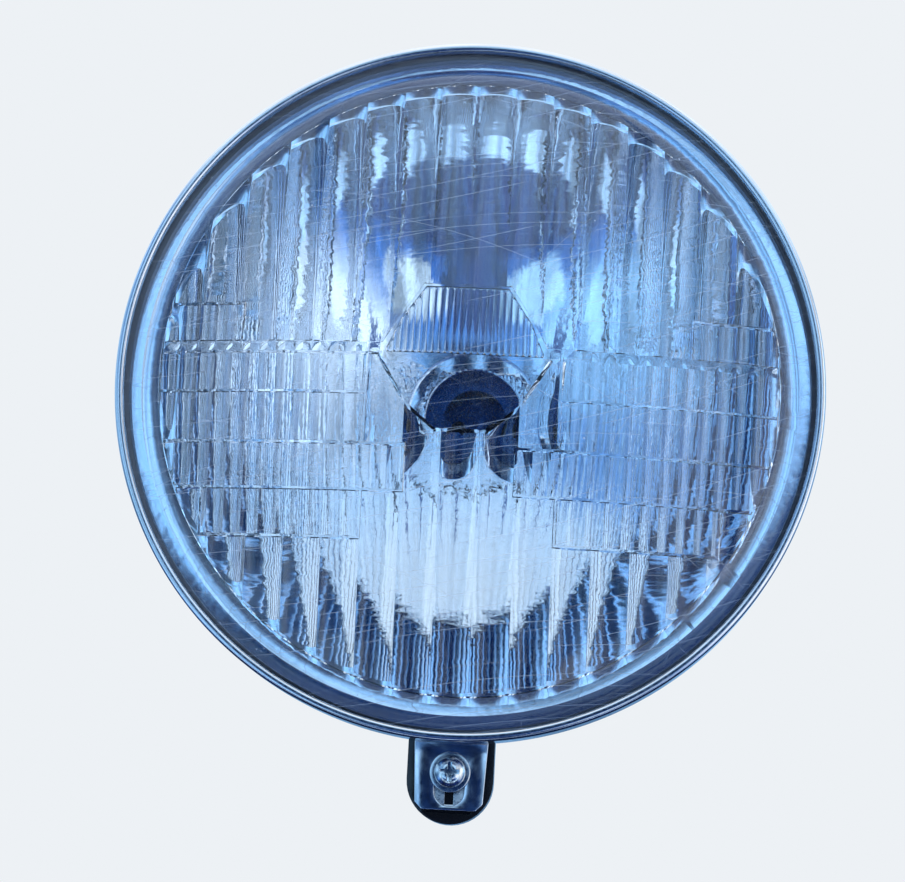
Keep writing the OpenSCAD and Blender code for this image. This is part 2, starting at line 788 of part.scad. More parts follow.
module spring_nut() {
    top = -screw_reach + nut_w / 2;
    low = -nut_end - nut_t;
    boss_r = screw_d / 2 + nut_boss_wall;
    color([0.75, 0.75, 0.72])
        difference() {
            union() {
                strip(nut_w)
                    polygon([[tab_back, top], [tab_back, low], [lug_plate_back + nut_t, low],
                        [lug_plate_back + nut_t, top], [lug_plate_back, top], [lug_plate_back, -nut_end],
                        [lug_front, -nut_end], [lug_front, top]]);
                translate([0, 0, -screw_reach]) rod(boss_r, lug_plate_back + nut_t / 2, nut_boss_l);
            }
            translate([0, 0, -screw_reach])
                rod(screw_d / 2 + screw_play, tab_back - cut, lug_depth + 2 * cut);
            plate(tab_back - cut, nut_t + cut + nut_play / 2)
                translate([-nut_slit / 2, -nut_end - nut_t - cut])
                    square([nut_slit, nut_end + nut_t + cut - screw_reach]);
        }
}

lens();
lens_seal();
reflector();
rim();
rim_tab();
rim_hook();
clip_upper_left();
clip_upper_right();
clip_lower_left();
clip_lower_right();
bowl();
bush_left();
bush_right();
bulb();
bulb_holder();
contact_plate();
terminal_left();
terminal_right();
holder_boot();
loom_grommet();
fixing_screw();
screw_washer();
spring_nut();
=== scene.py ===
"""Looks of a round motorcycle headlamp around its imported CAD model.

The lamp axis runs along Y and the lens faces -Y. Shapes are worked out in millimetres. A depth is counted
backwards from the rim's front edge, and a radius from the lamp axis. Meshes are written in metres.
"""
import math

import bpy
import numpy as np
from bpy.props import FloatProperty, FloatVectorProperty, PointerProperty
from mathutils import Matrix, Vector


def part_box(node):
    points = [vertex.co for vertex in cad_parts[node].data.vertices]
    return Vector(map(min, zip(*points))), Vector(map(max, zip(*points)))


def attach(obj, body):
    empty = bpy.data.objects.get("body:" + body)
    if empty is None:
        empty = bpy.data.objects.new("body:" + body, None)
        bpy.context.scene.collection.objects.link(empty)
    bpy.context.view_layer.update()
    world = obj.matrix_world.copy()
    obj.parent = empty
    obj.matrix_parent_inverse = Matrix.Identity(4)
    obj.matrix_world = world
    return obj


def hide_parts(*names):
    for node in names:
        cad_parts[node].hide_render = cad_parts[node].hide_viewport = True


bl_info = {
    "name": "Round motorcycle headlamp",
    "version": (1, 0, 0),
    "blender": (4, 5, 0),
    "location": "3D View > Sidebar > Headlamp",
    "description": "Builds the lens, reflector, rim and fixings of a round headlamp around its CAD model",
    "category": "Object",
}

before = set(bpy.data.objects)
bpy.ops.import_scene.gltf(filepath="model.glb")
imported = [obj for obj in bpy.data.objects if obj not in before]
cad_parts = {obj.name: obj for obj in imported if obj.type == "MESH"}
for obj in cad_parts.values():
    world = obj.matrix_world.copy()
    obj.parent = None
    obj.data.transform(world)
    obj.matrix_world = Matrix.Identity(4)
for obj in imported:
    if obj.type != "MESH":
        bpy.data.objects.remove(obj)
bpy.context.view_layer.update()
MM = 0.001
BODY = "root"

# angles in degrees from which an edge is shaded as sharp, on meshes made here and on copies of CAD meshes
SHARP = 30.0
SHARP_CAD = 35.0


def box_mm(node):
    """Lowest and highest corner of a CAD node, in millimetres."""
    low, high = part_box(node)
    return np.array(low) / MM, np.array(high) / MM


RIM_LOW, RIM_HIGH = box_mm("rim")
LENS_LOW, LENS_HIGH = box_mm("lens")
DISH_LOW = box_mm("reflector")[0]
RIM_R = RIM_HIGH[0]
FRONT_Y = RIM_LOW[1]
RIM_DEPTH = RIM_HIGH[1] - FRONT_Y
HELD_R = LENS_HIGH[0]

# lens, as in the CAD source
DOME_R = 228.0
DOME_RISE = FRONT_Y - LENS_LOW[1]
DOME_CENTRE = DOME_R - DOME_RISE
DISC_R = 69.6
SHOULDER_R = 7.0
LENS_T = 4.4
BASE_T = 2.8
LIP_DEPTH = 2.6
FLANGE_BACK = LENS_HIGH[1] - FRONT_Y
RIDGE = 0.5
WALL = 0.16
WINDOW_WALL = 0.7
VALLEY_ROUND = 0.05
BROAD_T = 4.1
BAND_T = 3.6
BAND_STEP = 0.3
FINE_T = 3.6
PATTERN_SHIFT = -0.8
LINES = (15.5, 6.5, -4.5, -15.8, -26.0, -36.5)
BAND_INNER = 21.5
BAND_INNER_3 = 12.4
BAND_OUTER_5 = 57.5
BAND_OUTER_0 = 50.0
PANEL_TOP_W = 9.2
PANEL_SIDE_W = 14.53
PANEL_BOTTOM_W = 17.8
PANEL_TOP = 20.0
PANEL_SIDE = 12.2
PANEL_BOTTOM = 4.4
WINDOW_SIDE_W = 11.4
WINDOW_SIDE = -6.2
WINDOW_BOTTOM_W = 5.5
WINDOW_BOTTOM = -11.5
WINDOW_RIDGE = 1.0

# reflector
FOCAL = 33.0
MOUTH_R = 68.6
SHEET_T = 0.8
HOLE_R = 11.5
SEAT_R = 15.6
COLLAR_L = 5.0
SEAL_BACK = DISH_LOW[1] - FRONT_Y
DISH_BACK = SEAL_BACK + SHEET_T
VERTEX = SEAL_BACK + MOUTH_R ** 2 / (4 * FOCAL)
SEAT_DEPTH = VERTEX - HOLE_R ** 2 / (4 * FOCAL)


def linear(code):
    """sRGB hex colour such as "#C0C4C8" as linear red, green, blue and an alpha of 1."""
    parts = np.array([int(code[i:i + 2], 16) for i in (1, 3, 5)]) / 255
    parts = np.where(parts <= 0.04045, parts / 12.92, ((parts + 0.055) / 1.055) ** 2.4)
    return (*parts.tolist(), 1.0)


def length_setting(name, description, size):
    """A length in the panel, given here in millimetres."""
    return FloatProperty(name=name, description=description, default=size * MM, unit="LENGTH")


def angle_setting(name, description, degrees):
    """An angle in the panel, given here in degrees."""
    size = math.radians(degrees)
    return FloatProperty(name=name, description=description, default=size, subtype="ANGLE")


def colour_setting(name, description, code):
    """A colour in the panel, given here as sRGB hex."""
    return FloatVectorProperty(
        name=name, description=description, default=linear(code), size=4, subtype="COLOR")


class LensSettings(bpy.types.PropertyGroup):
    """Moulded pattern and clarity of the lens."""

    broad_pitch: length_setting("Broad rib", "Width of one broad rib", 8.45)
    broad_rise: length_setting("Broad height", "Height of a broad rib", 1.05)
    band_pitch: length_setting("Narrow rib", "Width of one rib in the side bands", 4.0)
    band_rise: length_setting("Narrow height", "Height of a rib in the side bands", 0.5)
    fine_pitch: length_setting("Fine rib", "Width of one rib in the middle panel", 1.43)
    fine_rise: length_setting("Fine height", "Height of a rib in the middle panel", 0.3)
    haze: FloatProperty(
        name="Haze", description="Share of the light that worn patches scatter", default=0.06, min=0, max=0.5)


class FinishSettings(bpy.types.PropertyGroup):
    """Colours of the finishes."""

    acrylic: colour_setting("Lens", "Tint of the clear plastic", "#E9F4FB")
    silver: colour_setting("Reflector", "Mirror coat", "#E6EAF2")
    chrome: colour_setting("Chrome", "Chrome plate", "#D4D8DE")
    zinc: colour_setting("Zinc", "Bright zinc plate", "#CDD2D6")
    black: colour_setting("Bowl", "Black plastic", "#0C0D10")
    brass: colour_setting("Brass", "Turned brass", "#C9A45C")


class StageSettings(bpy.types.PropertyGroup):
    """Camera and surroundings."""

    azimuth: angle_setting("Azimuth", "Turn of the camera to the right", 2.4)
    elevation: angle_setting("Elevation", "Height of the camera", -11.2)
    roll: angle_setting("Roll", "Turn of the lamp in the picture", 3.0)
    distance: length_setting("Distance", "Camera to lamp", 600.0)
    floor_drop: length_setting("Floor", "Floor below the lamp axis", 320.0)
    floor: colour_setting("Floor colour", "Pale floor", "#E2D6CA")
    backdrop: colour_setting("Backdrop", "Pale backdrop", "#EDF1F5")


# meshes


def merge_points(points, triangles):
    """One vertex for each place: points are rounded to a hundredth of a micrometre, equal ones become one,
    and a triangle that loses a corner is dropped. Also gives the kept triangles' numbers."""
    _, first, place = np.unique(np.round(points, 5), axis=0, return_index=True, return_inverse=True)
    triangles = place.reshape(-1)[triangles]
    kept = (
        (triangles[:, 0] != triangles[:, 1])
        & (triangles[:, 1] != triangles[:, 2])
        & (triangles[:, 2] != triangles[:, 0])
    )
    return points[first], triangles[kept], np.flatnonzero(kept)


def grid_triangles(rows, columns, start=0):
    """Two triangles for each cell of a grid of rows by columns whose points are stored row by row."""
    index = start + np.arange(rows * columns).reshape(rows, columns)
    a, b = index[:-1, :-1].ravel(), index[:-1, 1:].ravel()
    c, d = index[1:, 1:].ravel(), index[1:, :-1].ravel()
    return np.concatenate([np.stack([a, b, c], 1), np.stack([a, c, d], 1)])


def make_piece(name, points, triangles, materials, slots=None):
    """A mesh object at the origin from points in millimetres, with shared vertices and outward faces."""
    slots = np.zeros(len(triangles), int) if slots is None else slots
    points, triangles, kept = merge_points(points, triangles)
    mesh = bpy.data.meshes.new(name)
    mesh.vertices.add(len(points))
    mesh.vertices.foreach_set("co", (points * MM).astype(np.float32).ravel())
    mesh.loops.add(3 * len(triangles))
    mesh.loops.foreach_set("vertex_index", triangles.astype(np.int32).ravel())
    mesh.polygons.add(len(triangles))
    mesh.polygons.foreach_set("loop_start", np.arange(0, 3 * len(triangles), 3, dtype=np.int32))
    mesh.polygons.foreach_set("material_index", slots[kept].astype(np.int32))
    mesh.polygons.foreach_set("use_smooth", np.ones(len(triangles), bool))
    mesh.update(calc_edges=True)
    mesh.validate()
    mesh.set_sharp_from_angle(angle=math.radians(SHARP))
    piece = bpy.data.objects.new(name, mesh)
    bpy.context.scene.collection.objects.link(piece)
    for material in materials:
        mesh.materials.append(material)
    return piece


def arc(centre, radius, start, end, steps):
    """Points of a circle's arc: centre + radius (cos a, sin a), with a from start to end in degrees."""
    angle = np.radians(np.linspace(start, end, steps + 1))
    return np.stack([centre[0] + radius * np.cos(angle), centre[1] + radius * np.sin(angle)], 1)


def turned(profile, angles):
    """Profile of radius and depth carried round the lamp axis: (r sin a, depth, r cos a) for each angle."""
    radius, depth = np.asarray(profile, float).T
    x = radius[:, None] * np.sin(angles)
    z = radius[:, None] * np.cos(angles)
    y = np.broadcast_to((depth + FRONT_Y)[:, None], x.shape)
    return np.stack([x, y, z], -1).reshape(-1, 3)


def lathe(name, profile, material, around):
    """A closed profile of radius and depth turned about the lamp axis. It runs so that the metal lies to its
    left, with the radius counted across and the depth upwards."""
    profile = np.vstack([profile, profile[:1]])
    angles = np.radians(np.linspace(0, 360, around + 1))
    angles[-1] = 0
    return make_piece(name, turned(profile, angles), grid_triangles(len(profile), around + 1), [material])


def bevelled_copy(node, name, width, material):
    """A copy of a CAD node's mesh as a new piece, with its points merged and its sharp edges rounded."""
    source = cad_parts[node]
    rough = bpy.data.objects.new(name, source.data.copy())
    rough.data.transform(source.matrix_world)
    bpy.context.scene.collection.objects.link(rough)
    weld = rough.modifiers.new("weld", "WELD")
    weld.merge_threshold = 0.001 * MM
    bevel = rough.modifiers.new("bevel", "BEVEL")
    bevel.width = width * MM
    bevel.segments = 3
    bevel.limit_method = "ANGLE"
    bevel.angle_limit = math.radians(SHARP_CAD)
    even = rough.modifiers.new("even", "WEIGHTED_NORMAL")
    even.keep_sharp = True
    mesh = bpy.data.meshes.new_from_object(rough.evaluated_get(bpy.context.evaluated_depsgraph_get()))
    bpy.data.objects.remove(rough)
    mesh.polygons.foreach_set("use_smooth", np.ones(len(mesh.polygons), bool))
    mesh.set_sharp_from_angle(angle=math.radians(SHARP_CAD))
    mesh.materials.clear()
    mesh.materials.append(material)
    piece = bpy.data.objects.new(name, mesh)
    bpy.context.scene.collection.objects.link(piece)
    return piece


# lens shape


def rib_circle(pitch, rise):
    """Radius of a circle whose arc over a chord of one pitch rises by rise: p^2 / 8h + h / 2."""
    return pitch ** 2 / (8 * rise) + rise / 2


def rib_reach(x, z, pitch, rise, thick, shift=0.0, low_end=None, high_end=None):
    """Distance of the ribbed face from the horizontal line through the dome's centre.
    Each rib is a circle of radius r in the plane of x and that distance. Its crest touches the circle of
    radius R = dome - thick at the rib's middle m, so its centre is (1 + r / R) (sqrt(R^2 - m^2), m).
    The face is the least of the neighbouring circles, with a smooth minimum for the rounded valley.
    Past an end, the height over that end counts in the circle as x does, which rounds the rib's tip."""
    r = rib_circle(pitch, rise)
    crest = DOME_R - thick
    grow = 1 + r / crest
    first = np.floor((x - shift) / pitch)
    reach = []
    for step in (-1, 0, 1):
        middle = shift + pitch * (first + step + 0.5)
        past = 0.0
        if high_end is not None:
            past = np.maximum(0, z - high_end(middle)) + np.maximum(0, low_end - z)
        under = np.maximum(r ** 2 - (x - middle * grow) ** 2 - past ** 2, 0)
        reach.append(np.sqrt(np.maximum(crest ** 2 - middle ** 2, 1)) * grow - np.sqrt(under))
    side = np.minimum(reach[0], reach[2])
    blend = np.clip(0.5 + 0.5 * (side - reach[1]) / VALLEY_ROUND, 0, 1)
    return side * (1 - blend) + reach[1] * blend - VALLEY_ROUND * blend * (1 - blend)


def valleys(pitch, rise, thick, low, high, shift=0.0):
    """Places between low and high where two ribs meet: the bisector of the two ribs' directions."""
    r = rib_circle(pitch, rise)
    crest = DOME_R - thick
    count = np.arange(math.floor((low - shift) / pitch) - 1, math.ceil((high - shift) / pitch) + 2)
    lower = np.arcsin((shift + pitch * (count - 0.5)) / crest)
    upper = np.arcsin((shift + pitch * (count + 0.5)) / crest)
    half = (upper - lower) / 2
    reach = (crest + r) * np.cos(half) - np.sqrt(r ** 2 - ((crest + r) * np.sin(half)) ** 2)
    place = reach * np.sin((upper + lower) / 2)
    return place[(place > low) & (place < high)]


def signed_distance(outline, x, z):
    """Distance of each point from a closed outline, positive inside: the least distance to its sides, with
    the sign from the number of sides that a line to the right crosses."""
    start = np.asarray(outline, float)
    side = np.roll(start, -1, axis=0) - start
    end = start + side
    offset = np.stack([x, z], -1)[:, None, :] - start
    along = np.clip((offset * side).sum(-1) / (side ** 2).sum(-1), 0, 1)
    gap = np.linalg.norm(offset - along[..., None] * side, axis=-1).min(-1)
    spans = (start[:, 1] > z[:, None]) != (end[:, 1] > z[:, None])
    rise = np.where(side[:, 1] == 0, 1, side[:, 1])
    crossing = start[:, 0] + (z[:, None] - start[:, 1]) / rise * side[:, 0]
    inside = (spans & (x[:, None] < crossing)).sum(-1) % 2 == 1
    return np.where(inside, gap, -gap)


def mirrored(outline):
    """The same outline on the other side of the lamp."""
    return [(-x, z) for x, z in reversed(outline)]


def both_sides(right):
    """An outline that crosses the middle, from the half on the right."""
    return right + mirrored(right)


def panel_top_line(x, out=0.0, low=PANEL_BOTTOM + RIDGE / 2):
    """Height of the middle panel's upper edge over x: flat in the middle, bulged down both sides."""
    return np.interp(np.abs(x), [PANEL_TOP_W + out, PANEL_SIDE_W + out, PANEL_BOTTOM_W + out],
                     [PANEL_TOP + out, PANEL_SIDE, low])


WINDOW_OUTLINE = (
    (WINDOW_BOTTOM_W + RIDGE / 2, WINDOW_BOTTOM - RIDGE),
    (WINDOW_SIDE_W + WINDOW_RIDGE, WINDOW_SIDE - RIDGE / 2),
    (PANEL_BOTTOM_W + WINDOW_RIDGE, PANEL_BOTTOM))


def window_line(x):
    """Height of the clear window's lower edge over x: flat in the middle, with two slopes up each side."""
    return np.interp(np.abs(x), *zip(*WINDOW_OUTLINE))


def lens_fields(lens):
    """Each field of the lens as its outline and the function that gives its depth."""
    half = RIDGE / 2
    far = DISC_R + 2
    broad = (lens.broad_pitch / MM, lens.broad_rise / MM)
    band = (lens.band_pitch / MM, lens.band_rise / MM)
    fine = (lens.fine_pitch / MM, lens.fine_rise / MM)

    def ribbed(pitch, rise, thick, shift=0.0, **ends):
        def depth(x, z):
            reach = rib_reach(x, z, pitch, rise, thick, shift, **ends)
            return DOME_CENTRE - np.sqrt(reach ** 2 - z ** 2)
        return depth

    low = LINES[1] + half
    upper = both_sides([
        (PANEL_BOTTOM_W + RIDGE, low), (BAND_OUTER_0, low), (BAND_OUTER_0, LINES[0] + half),
        (far, LINES[0] + half), (far, far)])
    upper += [(-PANEL_SIDE_W - RIDGE, PANEL_SIDE),
              (-PANEL_TOP_W - RIDGE, PANEL_TOP + RIDGE), (PANEL_TOP_W + RIDGE, PANEL_TOP + RIDGE),
              (PANEL_SIDE_W + RIDGE, PANEL_SIDE)]
    lower = both_sides([
        *WINDOW_OUTLINE, (PANEL_BOTTOM_W + WINDOW_RIDGE, LINES[1] - half),
        (BAND_INNER - half, LINES[1] - half), (BAND_INNER - half, LINES[3] + half),
        (BAND_INNER_3 - half, LINES[3] + half),
        (BAND_INNER_3 - half, LINES[4] - half), (BAND_INNER - half, LINES[4] - half),
        (BAND_INNER - half, LINES[5] - half), (BAND_OUTER_5 + half, LINES[5] - half),
        (BAND_OUTER_5 + half, LINES[4] - half), (far, LINES[4] - half), (far, -far)])
    panel = both_sides([
        (PANEL_BOTTOM_W, PANEL_BOTTOM + half), (PANEL_SIDE_W, PANEL_SIDE), (PANEL_TOP_W, PANEL_TOP)])
    tip = fine[0] / 2
    fields = [
        (upper, ribbed(*broad, BROAD_T)),
        (lower, ribbed(*broad, BROAD_T, broad[0] / 2)),
        (panel, ribbed(*fine, FINE_T, low_end=PANEL_BOTTOM + half + tip,
                       high_end=lambda x: panel_top_line(x) - tip)),
    ]
    inners = (BAND_OUTER_0, BAND_INNER, BAND_INNER, BAND_INNER_3, BAND_INNER)
    outers = (far, far, far, far, BAND_OUTER_5)
    for number, (inner, outer) in enumerate(zip(inners, outers)):
        top = LINES[number]
        low = LINES[number + 1]
        outline = [(inner + half, low + half), (outer - half, low + half),
                   (outer - half, top - half), (inner + half, top - half)]
        depth = ribbed(*band, BAND_T + BAND_STEP * (number % 2))
        fields += [(outline, depth), (mirrored(outline), depth)]
    return fields


# radii of the grid's last rings at the disc's edge, and its steps across
RING_RADII = (DISC_R - 0.4, DISC_R, DISC_R + WALL)
LEAST_STEP = 0.02
FINE_STEP = 0.2
WIDE_STEP = 0.42


def lens_columns(lens):
    """Places across the lens for the grid's columns: every valley and outline edge of the shifted pattern,
    the disc's edge, and even steps between."""
    half = RIDGE / 2
    broad = lens.broad_pitch / MM
    families = (
        (broad, lens.broad_rise / MM, BROAD_T, 0, DISC_R + 1, 0.0),
        (broad, lens.broad_rise / MM, BROAD_T, 0, DISC_R + 1, broad / 2),
        (lens.band_pitch / MM, lens.band_rise / MM, BAND_T, BAND_INNER_3, DISC_R + 1, 0.0),
        (lens.fine_pitch / MM, lens.fine_rise / MM, FINE_T, 0, PANEL_BOTTOM_W, 0.0),
    )
    places = [0.0]
    for family in families:
        for valley in valleys(*family):
            places += [valley - 0.1, valley - 0.04, valley, valley + 0.04, valley + 0.1]
    for edge in (BAND_INNER, BAND_INNER_3, BAND_OUTER_5, BAND_OUTER_0):
        places += [edge - half - WALL, edge - half, edge + half, edge + half + WALL]
    edge = PANEL_BOTTOM_W + WINDOW_RIDGE
    places += [edge, edge + WALL, edge + WINDOW_WALL, PANEL_TOP_W, PANEL_TOP_W + RIDGE, PANEL_SIDE_W,
               PANEL_SIDE_W + RIDGE, PANEL_BOTTOM_W, PANEL_BOTTOM_W + RIDGE, WINDOW_SIDE_W + WINDOW_RIDGE]
    places = np.array(places)
    ring = np.append(RING_RADII[2] * np.sin(np.radians(np.arange(72, 91, 1.5))), RING_RADII)
    places = np.concatenate([places + PATTERN_SHIFT, PATTERN_SHIFT - places, ring, -ring])
    places = np.unique(np.round(places, 4))
    places = places[np.abs(places) < RING_RADII[2] - LEAST_STEP]
    places = np.concatenate([[-RING_RADII[2]], places, [RING_RADII[2]]])
    places = places[np.append(np.diff(places) > LEAST_STEP, True)]
    steps = []
    for low, high in zip(places[:-1], places[1:]):
        widest = FINE_STEP if max(-low, high) <= PANEL_BOTTOM_W + 2 * RIDGE else WIDE_STEP
        steps.append(np.linspace(low, high, math.ceil((high - low) / widest), endpoint=False))
    return np.append(np.concatenate(steps), RING_RADII[2])


def lens_rows(x):
    """Heights of the grid's rows over each column, from the lower edge of the disc to the upper one. Rows
    follow the field lines and the edges of the middle panel and window. A row that would cross its neighbour
    stays on it, and rows past the disc stay on its edge."""
    half = RIDGE / 2
    across = x - PATTERN_SHIFT
    window = window_line(across)
    places = [WINDOW_BOTTOM_W, WINDOW_SIDE_W, PANEL_SIDE_W]
    window_run = np.interp(np.abs(across), places, [1.0, 1.3, 1.97]) * WINDOW_WALL
    top_in = panel_top_line(across)
    top_out = panel_top_line(across, RIDGE, LINES[1] + half)
    slant = np.where(np.abs(across) > PANEL_TOP_W, 1.9, 1.0) * WALL
    edge = np.sqrt(np.maximum(RING_RADII[0] ** 2 - x ** 2, 0))

    def line(height):
        return [height - half - WALL, height - half, height + half, height + half + WALL]

    def spread(low, high, count):
        return [low + (high - low) * (i + 1) / (count + 1) for i in range(count)]

    flat = np.zeros_like(x)
    below = [window - window_run, window - window_run * 0.6, window - window_run * 0.25, window]
    for number, count in ((2, 0), (3, 3), (4, 3), (5, 3)):
        rows = line(flat + LINES[number])
        rows = [np.minimum(row, below[0]) for row in rows]
        below = rows + spread(rows[-1], below[0], count) + below
    below = spread(-edge, below[0], 9) + below
    bottom = PANEL_BOTTOM
    tips = [0.3, 0.5, 0.8, 1.2]
    middle = spread(below[-1], flat + bottom - half - WALL, 3) + line(flat + bottom)
    middle += [np.minimum(bottom + half + tip, top_in) for tip in tips]
    tops = [np.maximum(top_in - tip, bottom + half) for tip in reversed(tips)]
    middle += spread(middle[-1], tops[0], 4) + tops
    middle += [top_in - slant, top_in, top_out, top_out + slant]
    above = middle
    for number, count in ((1, 0), (0, 3)):
        rows = [np.maximum(row, above[-1]) for row in line(flat + LINES[number])]
        above = above + spread(above[-1], rows[0], count) + rows
    above = above + spread(above[-1], edge, 15)
    rows = np.array([-edge, *below, *above, edge])
    middle_row = len(below)
    rows[middle_row:] = np.maximum.accumulate(rows[middle_row:], axis=0)
    rows[:middle_row + 1] = np.minimum.accumulate(rows[:middle_row + 1][::-1], axis=0)[::-1]
    rows = np.clip(rows, -edge, edge)
    rings = [np.sqrt(np.maximum(radius ** 2 - x ** 2, 0)) for radius in RING_RADII[:0:-1]]
    return np.vstack([[-ring for ring in rings], rows, rings[::-1]])


def sphere_depth(x, z, thick):
    """Depth of a face that lies thick under the dome's outer sphere."""
    return DOME_CENTRE - np.sqrt((DOME_R - thick) ** 2 - x ** 2 - z ** 2)


def inner_depth(x, z, fields):
    """Depth of the lens's inner face: the recessed disc with its ribbed fields, which stand proud of it,
    inside a thicker plain edge. Every step is a wall of WALL's run, and WINDOW_WALL's beside the window."""
    floor = sphere_depth(x, z, BASE_T)
    edge = sphere_depth(x, z, LENS_T)
    inside = floor.copy()
    across = x - PATTERN_SHIFT
    by_window = (z < PANEL_BOTTOM) & (z > window_line(across) - 3 * WINDOW_WALL)
    run = np.where(by_window, WINDOW_WALL, WALL)
    for outline, field_depth in fields:
        share = np.clip(signed_distance(outline, across, z) / run, 0, 1)
        hit = share > 0
        inside[hit] += share[hit] * np.maximum(field_depth(across[hit], z[hit]) - floor[hit], 0)
    share = np.clip((DISC_R + WALL - np.hypot(x, z)) / WALL, 0, 1)
    return edge + share * (inside - edge)


def lens_outside():
    """Profile of radius and depth from the ribbed disc's edge over the flange and shoulder to the pole, and
    how many of its first sides belong to the unworn inside."""
    inner_r = DOME_R - LENS_T
    edge_r = DISC_R + RIDGE
    tilt = math.degrees(math.asin(edge_r / DOME_R))
    centre = (edge_r - SHOULDER_R * math.sin(math.radians(tilt)),
              DOME_CENTRE - (DOME_R - SHOULDER_R) * math.cos(math.radians(tilt)))
    shoulder_end = math.degrees(math.acos((centre[1] - LIP_DEPTH) / SHOULDER_R))
    flange_start = math.sqrt(inner_r ** 2 - (DOME_CENTRE - FLANGE_BACK) ** 2)
    middle_r = (DISC_R + flange_start) / 2
    inner = [(middle_r, DOME_CENTRE - math.sqrt(inner_r ** 2 - middle_r ** 2)),
             (flange_start, FLANGE_BACK), (HELD_R, FLANGE_BACK), (HELD_R, LIP_DEPTH)]
    shoulder = arc(centre, SHOULDER_R, shoulder_end - 90, tilt - 90, 8)
    radii = np.linspace(edge_r, 0, 10)[1:]
    dome = np.stack([radii, DOME_CENTRE - np.sqrt(DOME_R ** 2 - radii ** 2)], 1)
    return np.vstack([inner, shoulder, dome]), len(inner) - 1


# materials


def add_node(tree, kind, sockets=None, stops=None, **settings):
    """Adds one shader node. settings are its own options. sockets maps an input to a value, to the output
    that feeds it, or to a node whose first output does. stops are a colour ramp's places and colours."""
    node = tree.nodes.new("ShaderNode" + kind)
    for option, value in settings.items():
        setattr(node, option, value)
    for key, value in (sockets or {}).items():
        if isinstance(value, bpy.types.Node):
            value = value.outputs[0]
        if isinstance(value, bpy.types.NodeSocket):
            tree.links.new(value, node.inputs[key])
        else:
            node.inputs[key].default_value = value
    if stops:
        ramp = node.color_ramp
        while len(ramp.elements) < len(stops):
            ramp.elements.new(1)
        for element, (place, colour) in zip(ramp.elements, stops):
            element.position = place
            element.color = colour
    return node


def new_material(name):
    """An empty node material."""
    material = bpy.data.materials.new(name)
    material.use_nodes = True
    material.node_tree.nodes.clear()
    return material, material.node_tree


def millimetres(tree, turn=(0.0, 0.0, 0.0), stretch=(1.0, 1.0, 1.0)):
    """Object coordinates in millimetres, turned and stretched for a pattern."""
    place = add_node(tree, "TexCoord")
    turned_place = add_node(tree, "Mapping", {
        "Vector": place.outputs["Object"], "Rotation": tuple(math.radians(a) for a in turn)})
    scale = tuple(s / MM for s in stretch)
    return add_node(tree, "Mapping", {"Vector": turned_place, "Scale": scale})


def metal(name, colour, roughness, grain, bump):
    """A plated or bare metal: fine grain in its roughness, and a slow unevenness in its bump."""
    material, tree = new_material(name)
    place = millimetres(tree)
    fine = add_node(tree, "TexNoise", {"Vector": place, "Scale": grain, "Detail": 4.0})
    slow = add_node(tree, "TexNoise", {"Vector": place, "Scale": 0.08, "Detail": 3.0})
    rough = add_node(tree, "MapRange", {
        "Value": fine, "From Min": 0.3, "From Max": 0.7,
        "To Min": roughness * 0.7, "To Max": roughness * 1.5})
    tone = add_node(tree, "Mix", {
        0: slow, 6: tuple(c * 0.86 for c in colour[:3]) + (1.0,), 7: tuple(colour)}, data_type="RGBA")
    height = add_node(tree, "Bump", {
        "Height": slow, "Strength": 1.0, "Distance": bump * MM})
    shader = add_node(tree, "BsdfPrincipled", {
        "Base Color": tone.outputs[2], "Metallic": 1.0, "Roughness": rough,
        "Normal": height})
    add_node(tree, "OutputMaterial", {"Surface": shader})
    return material


def scratch_lines(tree, angle, spacing, bend, width, cover, seed):
    """Long thin lines at irregular spacing, bent by a slow curve and broken up by a noise. With u and v the
    place across and up, turned by the angle, a line lies where v + bend u^2 passes a cell's edge."""
    place = millimetres(tree, (0, angle, 0))
    parts = add_node(tree, "SeparateXYZ", {0: place})
    square = add_node(tree, "Math", {0: parts, 1: parts}, operation="MULTIPLY")
    across = add_node(tree, "Math", {
        0: square, 1: bend, 2: parts.outputs[2]}, operation="MULTIPLY_ADD")
    cells = add_node(tree, "Math", {0: across, 1: 1 / spacing, 2: seed}, operation="MULTIPLY_ADD")
    lines = add_node(tree, "TexVoronoi", {"W": cells, "Scale": 1.0},
                     voronoi_dimensions="1D", feature="DISTANCE_TO_EDGE")
    thin = add_node(tree, "MapRange", {
        "Value": lines.outputs["Distance"], "From Max": width / spacing, "To Min": 1.0, "To Max": 0.0})
    spread = add_node(tree, "Mapping", {
        "Vector": place, "Scale": (0.014, 0.014, 0.2), "Location": (seed, 0, 0)})
    patch = add_node(tree, "TexNoise", {"Vector": spread, "Scale": 1.0, "Detail": 3.0})
    kept = add_node(tree, "MapRange", {
        "Value": patch, "From Min": 0.62 - cover, "From Max": 0.70 - cover})
    return add_node(tree, "Math", {0: thin, 1: kept}, operation="MULTIPLY")


# families of scratches: angle in degrees, spacing, bend, width in mm, share of the face, seed
SCRATCHES = (
    (8, 2.6, 0.0016, 0.09, 0.13, 3.1),
    (14, 4.0, -0.0012, 0.10, 0.15, 7.7),
    (-20, 5.0, 0.003, 0.09, 0.09, 1.3),
    (62, 9.0, 0.004, 0.08, 0.05, 5.9),
)


